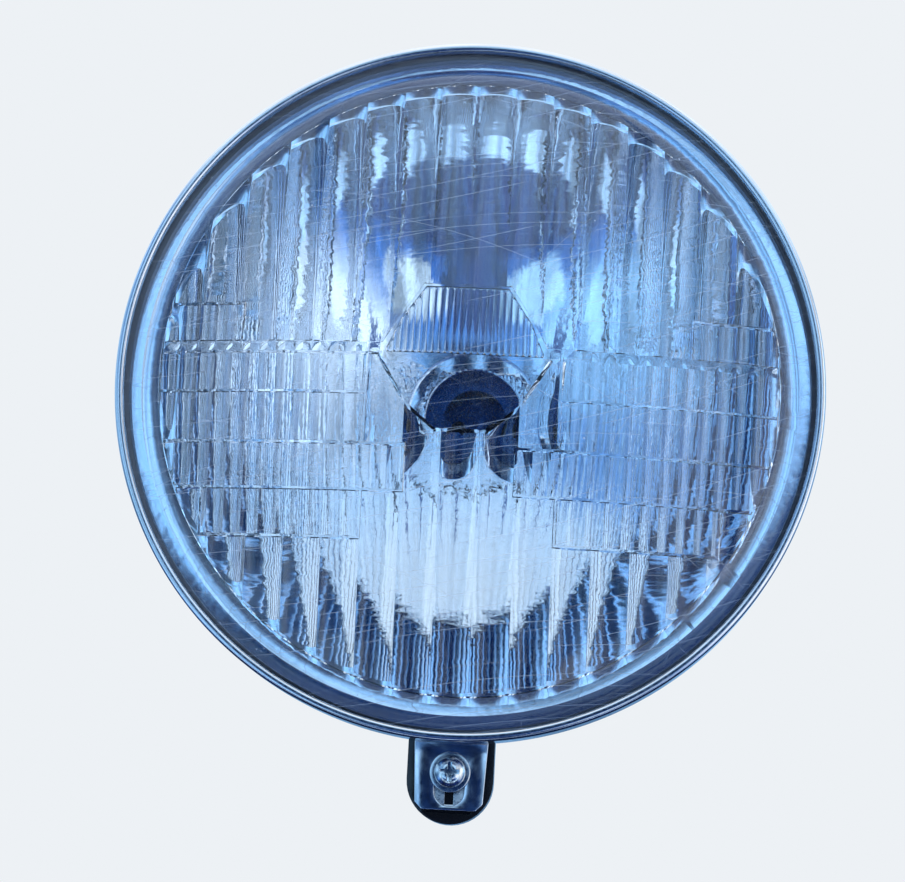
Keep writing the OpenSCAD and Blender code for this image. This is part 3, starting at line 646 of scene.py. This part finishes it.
def worn_acrylic(colour, haze):
    """Clear moulded acrylic, worn outside: polished and hard edged in reflection, with pale hairline
    scratches, specks, faint hazy patches and a hazier, rubbed border that catch the light."""
    material, tree = new_material("moulded_acrylic_worn_face")
    place = millimetres(tree)
    glass = add_node(tree, "BsdfPrincipled", {
        "Base Color": tuple(colour), "Roughness": 0.0, "IOR": 1.49, "Transmission Weight": 1.0})
    lines = None
    for family in SCRATCHES:
        made = scratch_lines(tree, *family)
        lines = made if lines is None else add_node(
            tree, "Math", {0: lines, 1: made}, operation="MAXIMUM")
    cloud = add_node(tree, "TexNoise", {"Vector": place, "Scale": 0.05, "Detail": 5.0, "Roughness": 0.6})
    dull = add_node(tree, "MapRange", {
        "Value": cloud, "From Min": 0.45, "From Max": 0.75, "To Min": 0.008, "To Max": haze})
    speck = add_node(tree, "TexVoronoi", {"Vector": place, "Scale": 0.16, "Randomness": 1.0})
    dot = add_node(tree, "MapRange", {
        "Value": speck.outputs["Distance"], "From Min": 0.03, "From Max": 0.05, "To Min": 0.5, "To Max": 0.0})
    flat = add_node(tree, "Mapping", {"Vector": place, "Scale": (1, 0, 1)})
    radius = add_node(tree, "VectorMath", {0: flat}, operation="LENGTH")
    beside = add_node(tree, "Mapping", {"Vector": place, "Scale": (0.012, 0, 0.012)})
    around = add_node(tree, "VectorMath", {0: beside, 1: radius.outputs["Value"]}, operation="ADD")
    rubbed = add_node(tree, "TexNoise", {"Vector": around, "Scale": 0.8, "Detail": 4.0})
    streak = add_node(tree, "MapRange", {
        "Value": rubbed, "From Min": 0.35, "From Max": 0.65, "To Min": 0.03, "To Max": 0.17})
    edge = add_node(tree, "MapRange", {"Value": radius.outputs["Value"], "From Min": 69.0, "From Max": 71.5})
    border = add_node(tree, "Math", {0: edge, 1: streak}, operation="MULTIPLY")
    dull = add_node(tree, "Math", {0: dull, 1: border}, operation="MAXIMUM")
    scored = add_node(tree, "Math", {0: lines, 1: 0.5}, operation="MULTIPLY")
    marks = add_node(tree, "Math", {0: scored, 1: dot}, operation="MAXIMUM")
    share = add_node(tree, "Math", {0: marks, 1: dull}, operation="MAXIMUM")
    pale = add_node(tree, "BsdfDiffuse", {"Color": linear("#C6D9F6")})
    both = add_node(tree, "MixShader", {
        0: share, 1: glass, 2: pale})
    add_node(tree, "OutputMaterial", {"Surface": both})
    return material


def ribbed_acrylic(colour):
    """The same acrylic as it leaves the mould inside: clear, with a slow waviness from shrinking."""
    material, tree = new_material("moulded_acrylic_ribs")
    place = millimetres(tree, stretch=(1.0, 1.0, 0.4))
    wave = add_node(tree, "TexNoise", {"Vector": place, "Scale": 0.15, "Detail": 1.0})
    height = add_node(tree, "Bump", {"Height": wave, "Strength": 1.0, "Distance": 0.03 * MM})
    glass = add_node(tree, "BsdfPrincipled", {
        "Base Color": tuple(colour), "Roughness": 0.0, "IOR": 1.49, "Transmission Weight": 1.0,
        "Normal": height})
    add_node(tree, "OutputMaterial", {"Surface": glass})
    return material


def mirror_coat(colour):
    """Aluminium evaporated on lacquered steel: a bright mirror with a little orange peel and some dust."""
    material, tree = new_material("vapour_coated_aluminium")
    place = millimetres(tree)
    peel = add_node(tree, "TexNoise", {"Vector": place, "Scale": 0.25, "Detail": 2.0})
    height = add_node(tree, "Bump", {"Height": peel, "Strength": 1.0, "Distance": 0.05 * MM})
    dust = add_node(tree, "TexNoise", {"Vector": place, "Scale": 1.5, "Detail": 6.0})
    rough = add_node(tree, "MapRange", {
        "Value": dust, "From Min": 0.4, "From Max": 0.8, "To Min": 0.02, "To Max": 0.12})
    shader = add_node(tree, "BsdfPrincipled", {
        "Base Color": tuple(colour), "Metallic": 1.0, "Roughness": rough, "Normal": height})
    add_node(tree, "OutputMaterial", {"Surface": shader})
    return material


def plastic(name, colour, roughness, bump, grain):
    """A moulded plastic or rubber: one colour with a little tone, and the mould's grain in its bump."""
    material, tree = new_material(name)
    place = millimetres(tree)
    fine = add_node(tree, "TexNoise", {"Vector": place, "Scale": grain, "Detail": 3.0})
    slow = add_node(tree, "TexNoise", {"Vector": place, "Scale": 0.06, "Detail": 4.0})
    tone = add_node(tree, "Mix", {
        0: slow, 6: tuple(colour), 7: tuple(min(c * 1.5 + 0.002, 1) for c in colour[:3]) + (1.0,)},
        data_type="RGBA")
    rough = add_node(tree, "MapRange", {
        "Value": slow, "From Min": 0.3, "From Max": 0.7,
        "To Min": roughness * 0.8, "To Max": roughness * 1.3})
    height = add_node(tree, "Bump", {"Height": fine, "Strength": 1.0, "Distance": bump * MM})
    shader = add_node(tree, "BsdfPrincipled", {
        "Base Color": tone.outputs[2], "Roughness": rough, "IOR": 1.5, "Normal": height})
    add_node(tree, "OutputMaterial", {"Surface": shader})
    return material


# pieces


class HEADLAMP_OT_lens(bpy.types.Operator):
    """Builds the domed lens with its moulded ribs"""

    bl_idname = "headlamp.lens"
    bl_label = "Lens"

    def execute(self, context):
        lens = context.scene.headlamp_lens
        finish = context.scene.headlamp_finish
        columns = lens_columns(lens)
        heights = lens_rows(columns)
        x = np.broadcast_to(columns, heights.shape).ravel()
        z = heights.ravel()
        depth = inner_depth(x, z, lens_fields(lens))
        inside = np.stack([x, depth + FRONT_Y, z], 1)
        rows, count = heights.shape
        inner_faces = grid_triangles(rows, count)[:, ::-1]
        top, bottom = inside.reshape(rows, count, 3)[[-1, 0]]
        ring = np.vstack([top, bottom[::-1], top[:1]])
        angles = np.arctan2(ring[:, 0], ring[:, 2])
        profile, inner_sides = lens_outside()
        outside = np.vstack([ring, turned(profile, angles)])
        outer_faces = grid_triangles(len(profile) + 1, len(ring), len(inside))[:, ::-1]
        cells = len(profile) * (len(ring) - 1)
        inner_cells = inner_sides * (len(ring) - 1)
        face_slots = np.tile(np.arange(cells) < inner_cells, 2).astype(int)
        slots = np.concatenate([np.ones(len(inner_faces), int), face_slots])
        piece = make_piece(
            "lens_moulding", np.vstack([inside, outside]), np.vstack([inner_faces, outer_faces]),
            [worn_acrylic(finish.acrylic, lens.haze), ribbed_acrylic(finish.acrylic)], slots)
        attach(piece, BODY)
        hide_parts("lens")
        return {"FINISHED"}


class HEADLAMP_OT_reflector(bpy.types.Operator):
    """Builds the reflector dish with its flange and collar"""

    bl_idname = "headlamp.reflector"
    bl_label = "Reflector"

    def execute(self, context):
        finish = context.scene.headlamp_finish
        collar_end = VERTEX + COLLAR_L
        seat_back = SEAT_DEPTH + SHEET_T
        front_r = np.linspace(MOUTH_R, SEAT_R + 0.3, 60)
        front = np.stack([front_r, VERTEX - front_r ** 2 / (4 * FOCAL)], 1)
        foot_r = SEAT_R + SHEET_T
        back_r = np.linspace(foot_r, MOUTH_R, 40)
        lift = SHEET_T * np.sqrt(1 + (back_r / (2 * FOCAL)) ** 2)
        back = np.stack([back_r, VERTEX - back_r ** 2 / (4 * FOCAL) + lift], 1)
        profile = np.vstack([
            [(HELD_R, SEAL_BACK)], front, [(SEAT_R, SEAT_DEPTH - 0.5), (SEAT_R - 0.1, SEAT_DEPTH - 0.15)],
            [(SEAT_R - 0.35, SEAT_DEPTH), (HOLE_R + 0.3, SEAT_DEPTH), (HOLE_R, SEAT_DEPTH + 0.3)],
            [(HOLE_R, collar_end), (HOLE_R + SHEET_T, collar_end), (HOLE_R + SHEET_T, seat_back)],
            [(foot_r, seat_back)], back, [(MOUTH_R + SHEET_T, DISH_BACK), (HELD_R, DISH_BACK)]])
        piece = lathe("reflector_dish", profile[::-1], mirror_coat(finish.silver), 256)
        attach(piece, BODY)
        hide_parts("reflector")
        return {"FINISHED"}


class HEADLAMP_OT_rim(bpy.types.Operator):
    """Builds the rolled rim"""

    bl_idname = "headlamp.rim"
    bl_label = "Rim"

    def execute(self, context):
        finish = context.scene.headlamp_finish
        lip_w, metal_t, hem_t = 2.0, 0.7, 1.2
        inner_r = RIM_R - metal_t
        lip_r = RIM_R - lip_w
        roll = lip_w / 2
        profile = np.vstack([
            arc((RIM_R - roll, roll), roll, 0, -90, 12),
            arc((lip_r + metal_t, metal_t), metal_t, -90, -180, 8),
            [(lip_r, LIP_DEPTH), (lip_r + metal_t, LIP_DEPTH), (lip_r + metal_t, metal_t)],
            [(inner_r - 0.1, metal_t), (inner_r, roll)],
            [(inner_r, RIM_DEPTH - hem_t), (lip_r, RIM_DEPTH - hem_t), (lip_r, RIM_DEPTH)],
            arc((RIM_R - hem_t / 2, RIM_DEPTH - hem_t / 2), hem_t / 2, 90, 0, 6)])
        material = metal("bright_chrome_plate", finish.chrome, 0.16, 1.2, 0.04)
        piece = lathe("rolled_rim", profile[::-1], material, 360)
        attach(piece, BODY)
        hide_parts("rim")
        return {"FINISHED"}


class HEADLAMP_OT_finishes(bpy.types.Operator):
    """Gives the CAD nodes their finishes and replaces some by copies with rounded edges"""

    bl_idname = "headlamp.finishes"
    bl_label = "Finishes"

    def execute(self, context):
        finish = context.scene.headlamp_finish
        plated = metal("chrome_plated_sheet", finish.chrome, 0.12, 0.6, 0.05)
        zinc = metal("bright_zinc_plate", finish.zinc, 0.16, 1.0, 0.008)
        spring = metal("zinc_plated_spring_steel", finish.zinc, 0.3, 2.0, 0.03)
        brass = metal("turned_brass", finish.brass, 0.25, 2.0, 0.02)
        bowl = plastic("gloss_black_abs", finish.black, 0.16, 0.01, 1.5)
        rubber = plastic("moulded_black_rubber", linear("#17181A"), 0.6, 0.02, 4.0)
        seal = plastic("aged_grey_rubber", linear("#5E6B86"), 0.5, 0.02, 3.0)
        board = plastic("pressed_phenolic_board", linear("#5A3A22"), 0.5, 0.02, 3.0)
        glass = bulb_glass_and_cap()
        given = {
            "lens_seal": seal, "holder_boot": rubber, "terminal_left": brass, "terminal_right": brass,
            "bulb_holder": zinc, "contact_plate": board,
            "clip_upper_left": spring, "clip_upper_right": spring,
            "clip_lower_left": spring, "clip_lower_right": spring,
        }
        for name, material in given.items():
            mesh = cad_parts[name].data
            mesh.materials.clear()
            mesh.materials.append(material)
        for node, name, width, material, slot in (
                ("bowl", "bowl_moulding", 0.3, bowl, "bowl_plastic"),
                ("bulb", "blown_bulb", 0.05, glass, "bulb_glass"),
                ("loom_grommet", "grommet_moulding", 0.3, rubber, "boot_rubber"),
                ("bush_left", "left_bush_turned", 0.25, brass, "bush_brass"),
                ("bush_right", "right_bush_turned", 0.25, brass, "bush_brass"),
                ("rim_hook", "folded_hook", 0.15, plated, "rim_chrome"),
                ("spring_nut", "folded_spring_nut", 0.1, spring, "spring_steel"),
                ("rim_tab", "slotted_tab", 0.16, plated, "rim_chrome"),
                ("fixing_screw", "cross_recess_screw", 0.12, zinc, "zinc_steel"),
                ("screw_washer", "plain_washer", 0.15, zinc, "zinc_steel")):
            piece = bevelled_copy(node, name, width, material)
            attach(piece, BODY)
            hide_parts(node)
        web = nut_window_web(bowl)
        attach(web, BODY)
        return {"FINISHED"}


def nut_window_web(material):
    """The thin moulded web that closes the lug's window under the spring nut, so that no light passes."""
    low, high = box_mm("spring_nut")
    nut_t, lug_t, room, inset, tall = 0.7, 3.5, 0.6, 0.5, 1.3
    x = (low[0] - room, high[0] + room)
    y = (low[1] + nut_t + inset, low[1] + nut_t + lug_t - inset)
    z = (low[2] - 0.05 - tall, low[2] - 0.05)
    rows = np.array([[x[0], z[0]], [x[1], z[0]], [x[1], z[1]], [x[0], z[1]], [x[0], z[0]]])
    middle = np.array([(x[0] + x[1]) / 2, (z[0] + z[1]) / 2])
    rings = [(middle, y[0]), (rows, y[0]), (rows, y[1]), (middle, y[1])]
    points = np.concatenate([
        np.insert(np.broadcast_to(ring, rows.shape), 1, depth, axis=1) for ring, depth in rings])
    return make_piece("nut_window_web", points, grid_triangles(4, 5)[:, ::-1], [material])


def bulb_glass_and_cap():
    """Thin blown glass in front of the collar, which mirrors a little more at its edge and bends nothing, and
    a metal cap behind it whose dark navy colour is painted shade for the dark hole around the bulb."""
    material, tree = new_material("blown_glass_and_painted_shade_cap")
    edge = add_node(tree, "LayerWeight", {"Blend": 0.25})
    share = add_node(tree, "MapRange", {
        "Value": edge.outputs["Fresnel"], "From Min": 0.0, "From Max": 1.0, "To Min": 0.01, "To Max": 0.12})
    clear = add_node(tree, "BsdfTransparent", {"Color": linear("#F4F6F8")})
    skin = add_node(tree, "BsdfGlossy", {"Color": linear("#FFFFFF"), "Roughness": 0.02})
    glass = add_node(tree, "MixShader", {0: share, 1: clear, 2: skin})
    place = millimetres(tree)
    parts = add_node(tree, "SeparateXYZ", {0: place})
    collar = FRONT_Y + VERTEX + COLLAR_L
    behind = add_node(tree, "Math", {0: parts.outputs[1], 1: collar - 0.2}, operation="GREATER_THAN")
    grain = add_node(tree, "TexNoise", {"Vector": place, "Scale": 2.0, "Detail": 3.0})
    rough = add_node(tree, "MapRange", {"Value": grain, "To Min": 0.15, "To Max": 0.4})
    # painted shade: the cap is coloured dark navy to stand for the shade in the bulb hole
    cap = add_node(tree, "BsdfPrincipled", {
        "Base Color": linear("#26406A"), "Metallic": 1.0, "Roughness": rough})
    both = add_node(tree, "MixShader", {0: behind, 1: glass, 2: cap})
    add_node(tree, "OutputMaterial", {"Surface": both})
    return material


# the tent's colour over the height of a direction, from 0 straight down to 1 straight up
SKY = ((0.0, "#172652"), (0.145, "#1A2E66"), (0.17, "#3164AE"), (0.32, "#4C82CA"), (0.42, "#78AEE4"),
       (0.50, "#8EC0F0"), (0.68, "#A8D2F8"), (0.85, "#DCEEFF"), (1.0, "#FFFFFF"))

# centre across and up, half width and half height, softness and colour, in parts of a direction's length
SURROUNDINGS = (
    ((0.74, 0.0), (0.36, 0.56), 0.30, "#EEF4FF"),
    ((-0.72, 0.38), (0.20, 0.26), 0.30, "#6A9AD4"),
    ((-0.66, -0.22), (0.26, 0.34), 0.30, "#A4D6FF"),
    ((0.57, 0.10), (0.022, 0.50), 0.30, "#1E3266"),
    ((-0.53, 0.05), (0.022, 0.50), 0.30, "#1A3266"),
    ((0.30, 0.66), (0.025, 0.20), 0.30, "#3E5A94"),
    ((-0.36, 0.60), (0.025, 0.20), 0.30, "#3E5A94"),
    ((0.33, -0.52), (0.14, 0.13), 0.15, "#E6F3FF"),
    ((-0.35, -0.52), (0.16, 0.13), 0.15, "#B4DCFC"),
    ((0.0, -0.54), (0.18, 0.20), 0.10, "#1A2C5E"),
    ((0.0, -0.04), (0.25, 0.30), 0.20, "#10244A"),
)

# ends of the bright strip on the floor: axis of a direction, where the strip is full and where it is gone
LOW_STRIP = ((1, -0.32, -0.30), (1, -0.42, -0.44), (2, -0.45, -0.30))


def make_surroundings(stage):
    """Soft tent with draped folds around the lamp as its glass and mirror see it: a pale ceiling, a blue
    floor with a bright strip, dark shapes where camera and stand are, and small bright gaps beside them.
    The camera itself sees a plain backdrop."""
    world = bpy.data.worlds.new("studio_tent")
    bpy.context.scene.world = world
    world.use_nodes = True
    tree = world.node_tree
    tree.nodes.clear()
    place = add_node(tree, "TexCoord").outputs["Generated"]
    parts = add_node(tree, "SeparateXYZ", {0: place})
    up = add_node(tree, "MapRange", {"Value": parts.outputs[2], "From Min": -1.0, "From Max": 1.0})
    seen = add_node(tree, "ValToRGB", {0: up}, stops=[
        (place_up, linear(code)) for place_up, code in SKY])
    front = add_node(tree, "MapRange", {
        "Value": parts.outputs[1], "From Min": -0.02, "From Max": 0.02, "To Min": 1.0, "To Max": 0.0})
    for (x, z), (wide, high), soft, code in SURROUNDINGS:
        moved = add_node(tree, "Mapping", {
            "Vector": place, "Location": (-x / wide, 0, -z / high), "Scale": (1 / wide, 0, 1 / high)})
        reach = add_node(tree, "VectorMath", {0: moved}, operation="LENGTH")
        mask = add_node(tree, "MapRange", {
            "Value": reach.outputs["Value"], "From Min": 1 - soft, "From Max": 1 + soft,
            "To Min": 1.0, "To Max": 0.0}, interpolation_type="SMOOTHSTEP")
        share = add_node(tree, "Math", {0: mask, 1: front}, operation="MULTIPLY")
        seen = add_node(tree, "Mix", {
            0: share, 6: seen, 7: linear(code)}, data_type="RGBA").outputs[2]
    ends = [add_node(tree, "MapRange", {
        "Value": parts.outputs[way], "From Min": full, "From Max": gone, "To Min": 1.0, "To Max": 0.0})
        for way, full, gone in LOW_STRIP]
    share = add_node(tree, "Math", {0: ends[0], 1: ends[1]}, operation="MULTIPLY")
    share = add_node(tree, "Math", {0: share, 1: ends[2]}, operation="MULTIPLY")
    seen = add_node(tree, "Mix", {
        0: share, 6: seen, 7: linear("#C4E2FF")}, data_type="RGBA").outputs[2]
    drape = add_node(tree, "Mapping", {"Vector": place, "Scale": (9.0, 0, 1.6)})
    folds = add_node(tree, "TexNoise", {"Vector": drape, "Scale": 1.0, "Detail": 4.0})
    shade = add_node(tree, "MapRange", {
        "Value": folds, "From Min": 0.38, "From Max": 0.61, "To Min": 0.34, "To Max": 1.4})
    draped = add_node(tree, "VectorMath", {0: seen, 1: shade}, operation="MULTIPLY")
    ceiling = add_node(tree, "MapRange", {
        "Value": parts.outputs[2], "From Min": 0.35, "From Max": 0.6, "To Min": 0.0, "To Max": 0.8})
    seen = add_node(tree, "Mix", {
        0: ceiling, 6: draped, 7: seen}, data_type="RGBA").outputs[2]
    behind = add_node(tree, "MapRange", {
        "Value": parts.outputs[1], "From Min": 0.05, "From Max": 0.25})
    low = add_node(tree, "MapRange", {
        "Value": parts.outputs[2], "From Min": -0.4, "From Max": 0.25, "To Min": 1.0, "To Max": 0.0})
    share = add_node(tree, "Math", {0: behind, 1: low}, operation="MULTIPLY")
    seen = add_node(tree, "Mix", {
        0: share, 6: seen, 7: linear("#10182C")}, data_type="RGBA").outputs[2]
    light = add_node(tree, "Background", {"Color": seen, "Strength": 1.6})
    plain = add_node(tree, "Background", {"Color": tuple(stage.backdrop), "Strength": 1.0})
    rays = add_node(tree, "LightPath")
    both = add_node(tree, "MixShader", {
        0: rays.outputs["Is Camera Ray"], 1: light, 2: plain})
    add_node(tree, "OutputWorld", {"Surface": both})


class HEADLAMP_OT_stage(bpy.types.Operator):
    """Makes the floor, the soft light and the camera"""

    bl_idname = "headlamp.stage"
    bl_label = "Stage"

    def execute(self, context):
        stage = context.scene.headlamp_stage
        scene = context.scene
        scene.view_settings.view_transform = "Standard"
        floor, tree = new_material("pale_paper_floor")
        fibre = add_node(tree, "TexNoise", {"Vector": millimetres(tree), "Scale": 0.02, "Detail": 2.0})
        tone = add_node(tree, "Mix", {
            0: fibre, 6: tuple(stage.floor), 7: tuple(c * 0.97 for c in stage.floor)}, data_type="RGBA")
        paper = add_node(tree, "BsdfDiffuse", {"Color": tone.outputs[2]})
        add_node(tree, "OutputMaterial", {"Surface": paper})
        reach = 12000.0
        drop = -stage.floor_drop / MM
        corners = np.array([
            (-reach, -reach, drop), (reach, -reach, drop), (-reach, reach, drop), (reach, reach, drop)])
        piece = make_piece("paper_floor", corners, grid_triangles(2, 2), [floor])
        piece.visible_glossy = False
        piece.visible_transmission = False

        make_surroundings(stage)
        make_camera(stage)
        return {"FINISHED"}


# the photograph's size in pixels, one pixel at the lamp in mm, and the lamp axis's pixel at the rim's front
IMAGE_SIZE = (905, 882)
PIXEL = 0.2246
LAMP_PIXEL = (468.5, 384.0)


def make_camera(stage):
    """Camera on a line from the lamp's front, turned so that the lamp lands where the photograph has it."""
    azimuth, elevation, roll = stage.azimuth, stage.elevation, stage.roll
    target = np.array([0.0, FRONT_Y * MM, 0.0])
    level = math.cos(elevation)
    back = np.array([math.sin(azimuth) * level, -math.cos(azimuth) * level, math.sin(elevation)])
    ahead = -back
    up = np.array([0.0, 0.0, 1.0]) - back * back[2]
    up /= np.linalg.norm(up)
    right = np.cross(ahead, up)
    level_right = math.cos(roll) * right + math.sin(roll) * up
    level_up = -math.sin(roll) * right + math.cos(roll) * up
    place = target + back * stage.distance
    across = (IMAGE_SIZE[0] / 2 - LAMP_PIXEL[0]) * PIXEL * MM
    down = (IMAGE_SIZE[1] / 2 - LAMP_PIXEL[1]) * PIXEL * MM
    aim = target + across * level_right - down * level_up - place
    aim /= np.linalg.norm(aim)
    side = np.cross(aim, level_up)
    side /= np.linalg.norm(side)
    data = bpy.data.cameras.new("photo_camera")
    data.sensor_width = 36.0
    data.lens = data.sensor_width * stage.distance / (PIXEL * MM * IMAGE_SIZE[0])
    data.clip_start = 0.01
    data.clip_end = 20.0
    camera = bpy.data.objects.new("photo_camera", data)
    bpy.context.scene.collection.objects.link(camera)
    turn = np.eye(4)
    turn[:3, 0] = side
    turn[:3, 1] = np.cross(side, aim)
    turn[:3, 2] = -aim
    turn[:3, 3] = place
    camera.matrix_world = Matrix(turn.tolist())
    bpy.context.scene.camera = camera


class HEADLAMP_PT_panel(bpy.types.Panel):
    """Lists the settings and the build steps"""

    bl_idname = "HEADLAMP_PT_panel"
    bl_label = "Headlamp"
    bl_space_type = "VIEW_3D"
    bl_region_type = "UI"
    bl_category = "Headlamp"

    def draw(self, context):
        scene = context.scene
        for group in (scene.headlamp_lens, scene.headlamp_finish, scene.headlamp_stage):
            for name in group.bl_rna.properties.keys():
                if name not in ("rna_type", "name"):
                    self.layout.prop(group, name)
        for step in STEPS:
            self.layout.operator(step.bl_idname)


STEPS = (
    HEADLAMP_OT_lens,
    HEADLAMP_OT_reflector,
    HEADLAMP_OT_rim,
    HEADLAMP_OT_finishes,
    HEADLAMP_OT_stage,
)
CLASSES = (LensSettings, FinishSettings, StageSettings, *STEPS, HEADLAMP_PT_panel)


def register():
    for cls in CLASSES:
        bpy.utils.register_class(cls)
    bpy.types.Scene.headlamp_lens = PointerProperty(type=LensSettings)
    bpy.types.Scene.headlamp_finish = PointerProperty(type=FinishSettings)
    bpy.types.Scene.headlamp_stage = PointerProperty(type=StageSettings)


def unregister():
    del bpy.types.Scene.headlamp_stage
    del bpy.types.Scene.headlamp_finish
    del bpy.types.Scene.headlamp_lens
    for cls in reversed(CLASSES):
        bpy.utils.unregister_class(cls)


def main():
    """Builds everything in order."""
    register()
    bpy.ops.headlamp.lens()
    bpy.ops.headlamp.reflector()
    bpy.ops.headlamp.rim()
    bpy.ops.headlamp.finishes()
    bpy.ops.headlamp.stage()


if __name__ == "__main__":
    main()
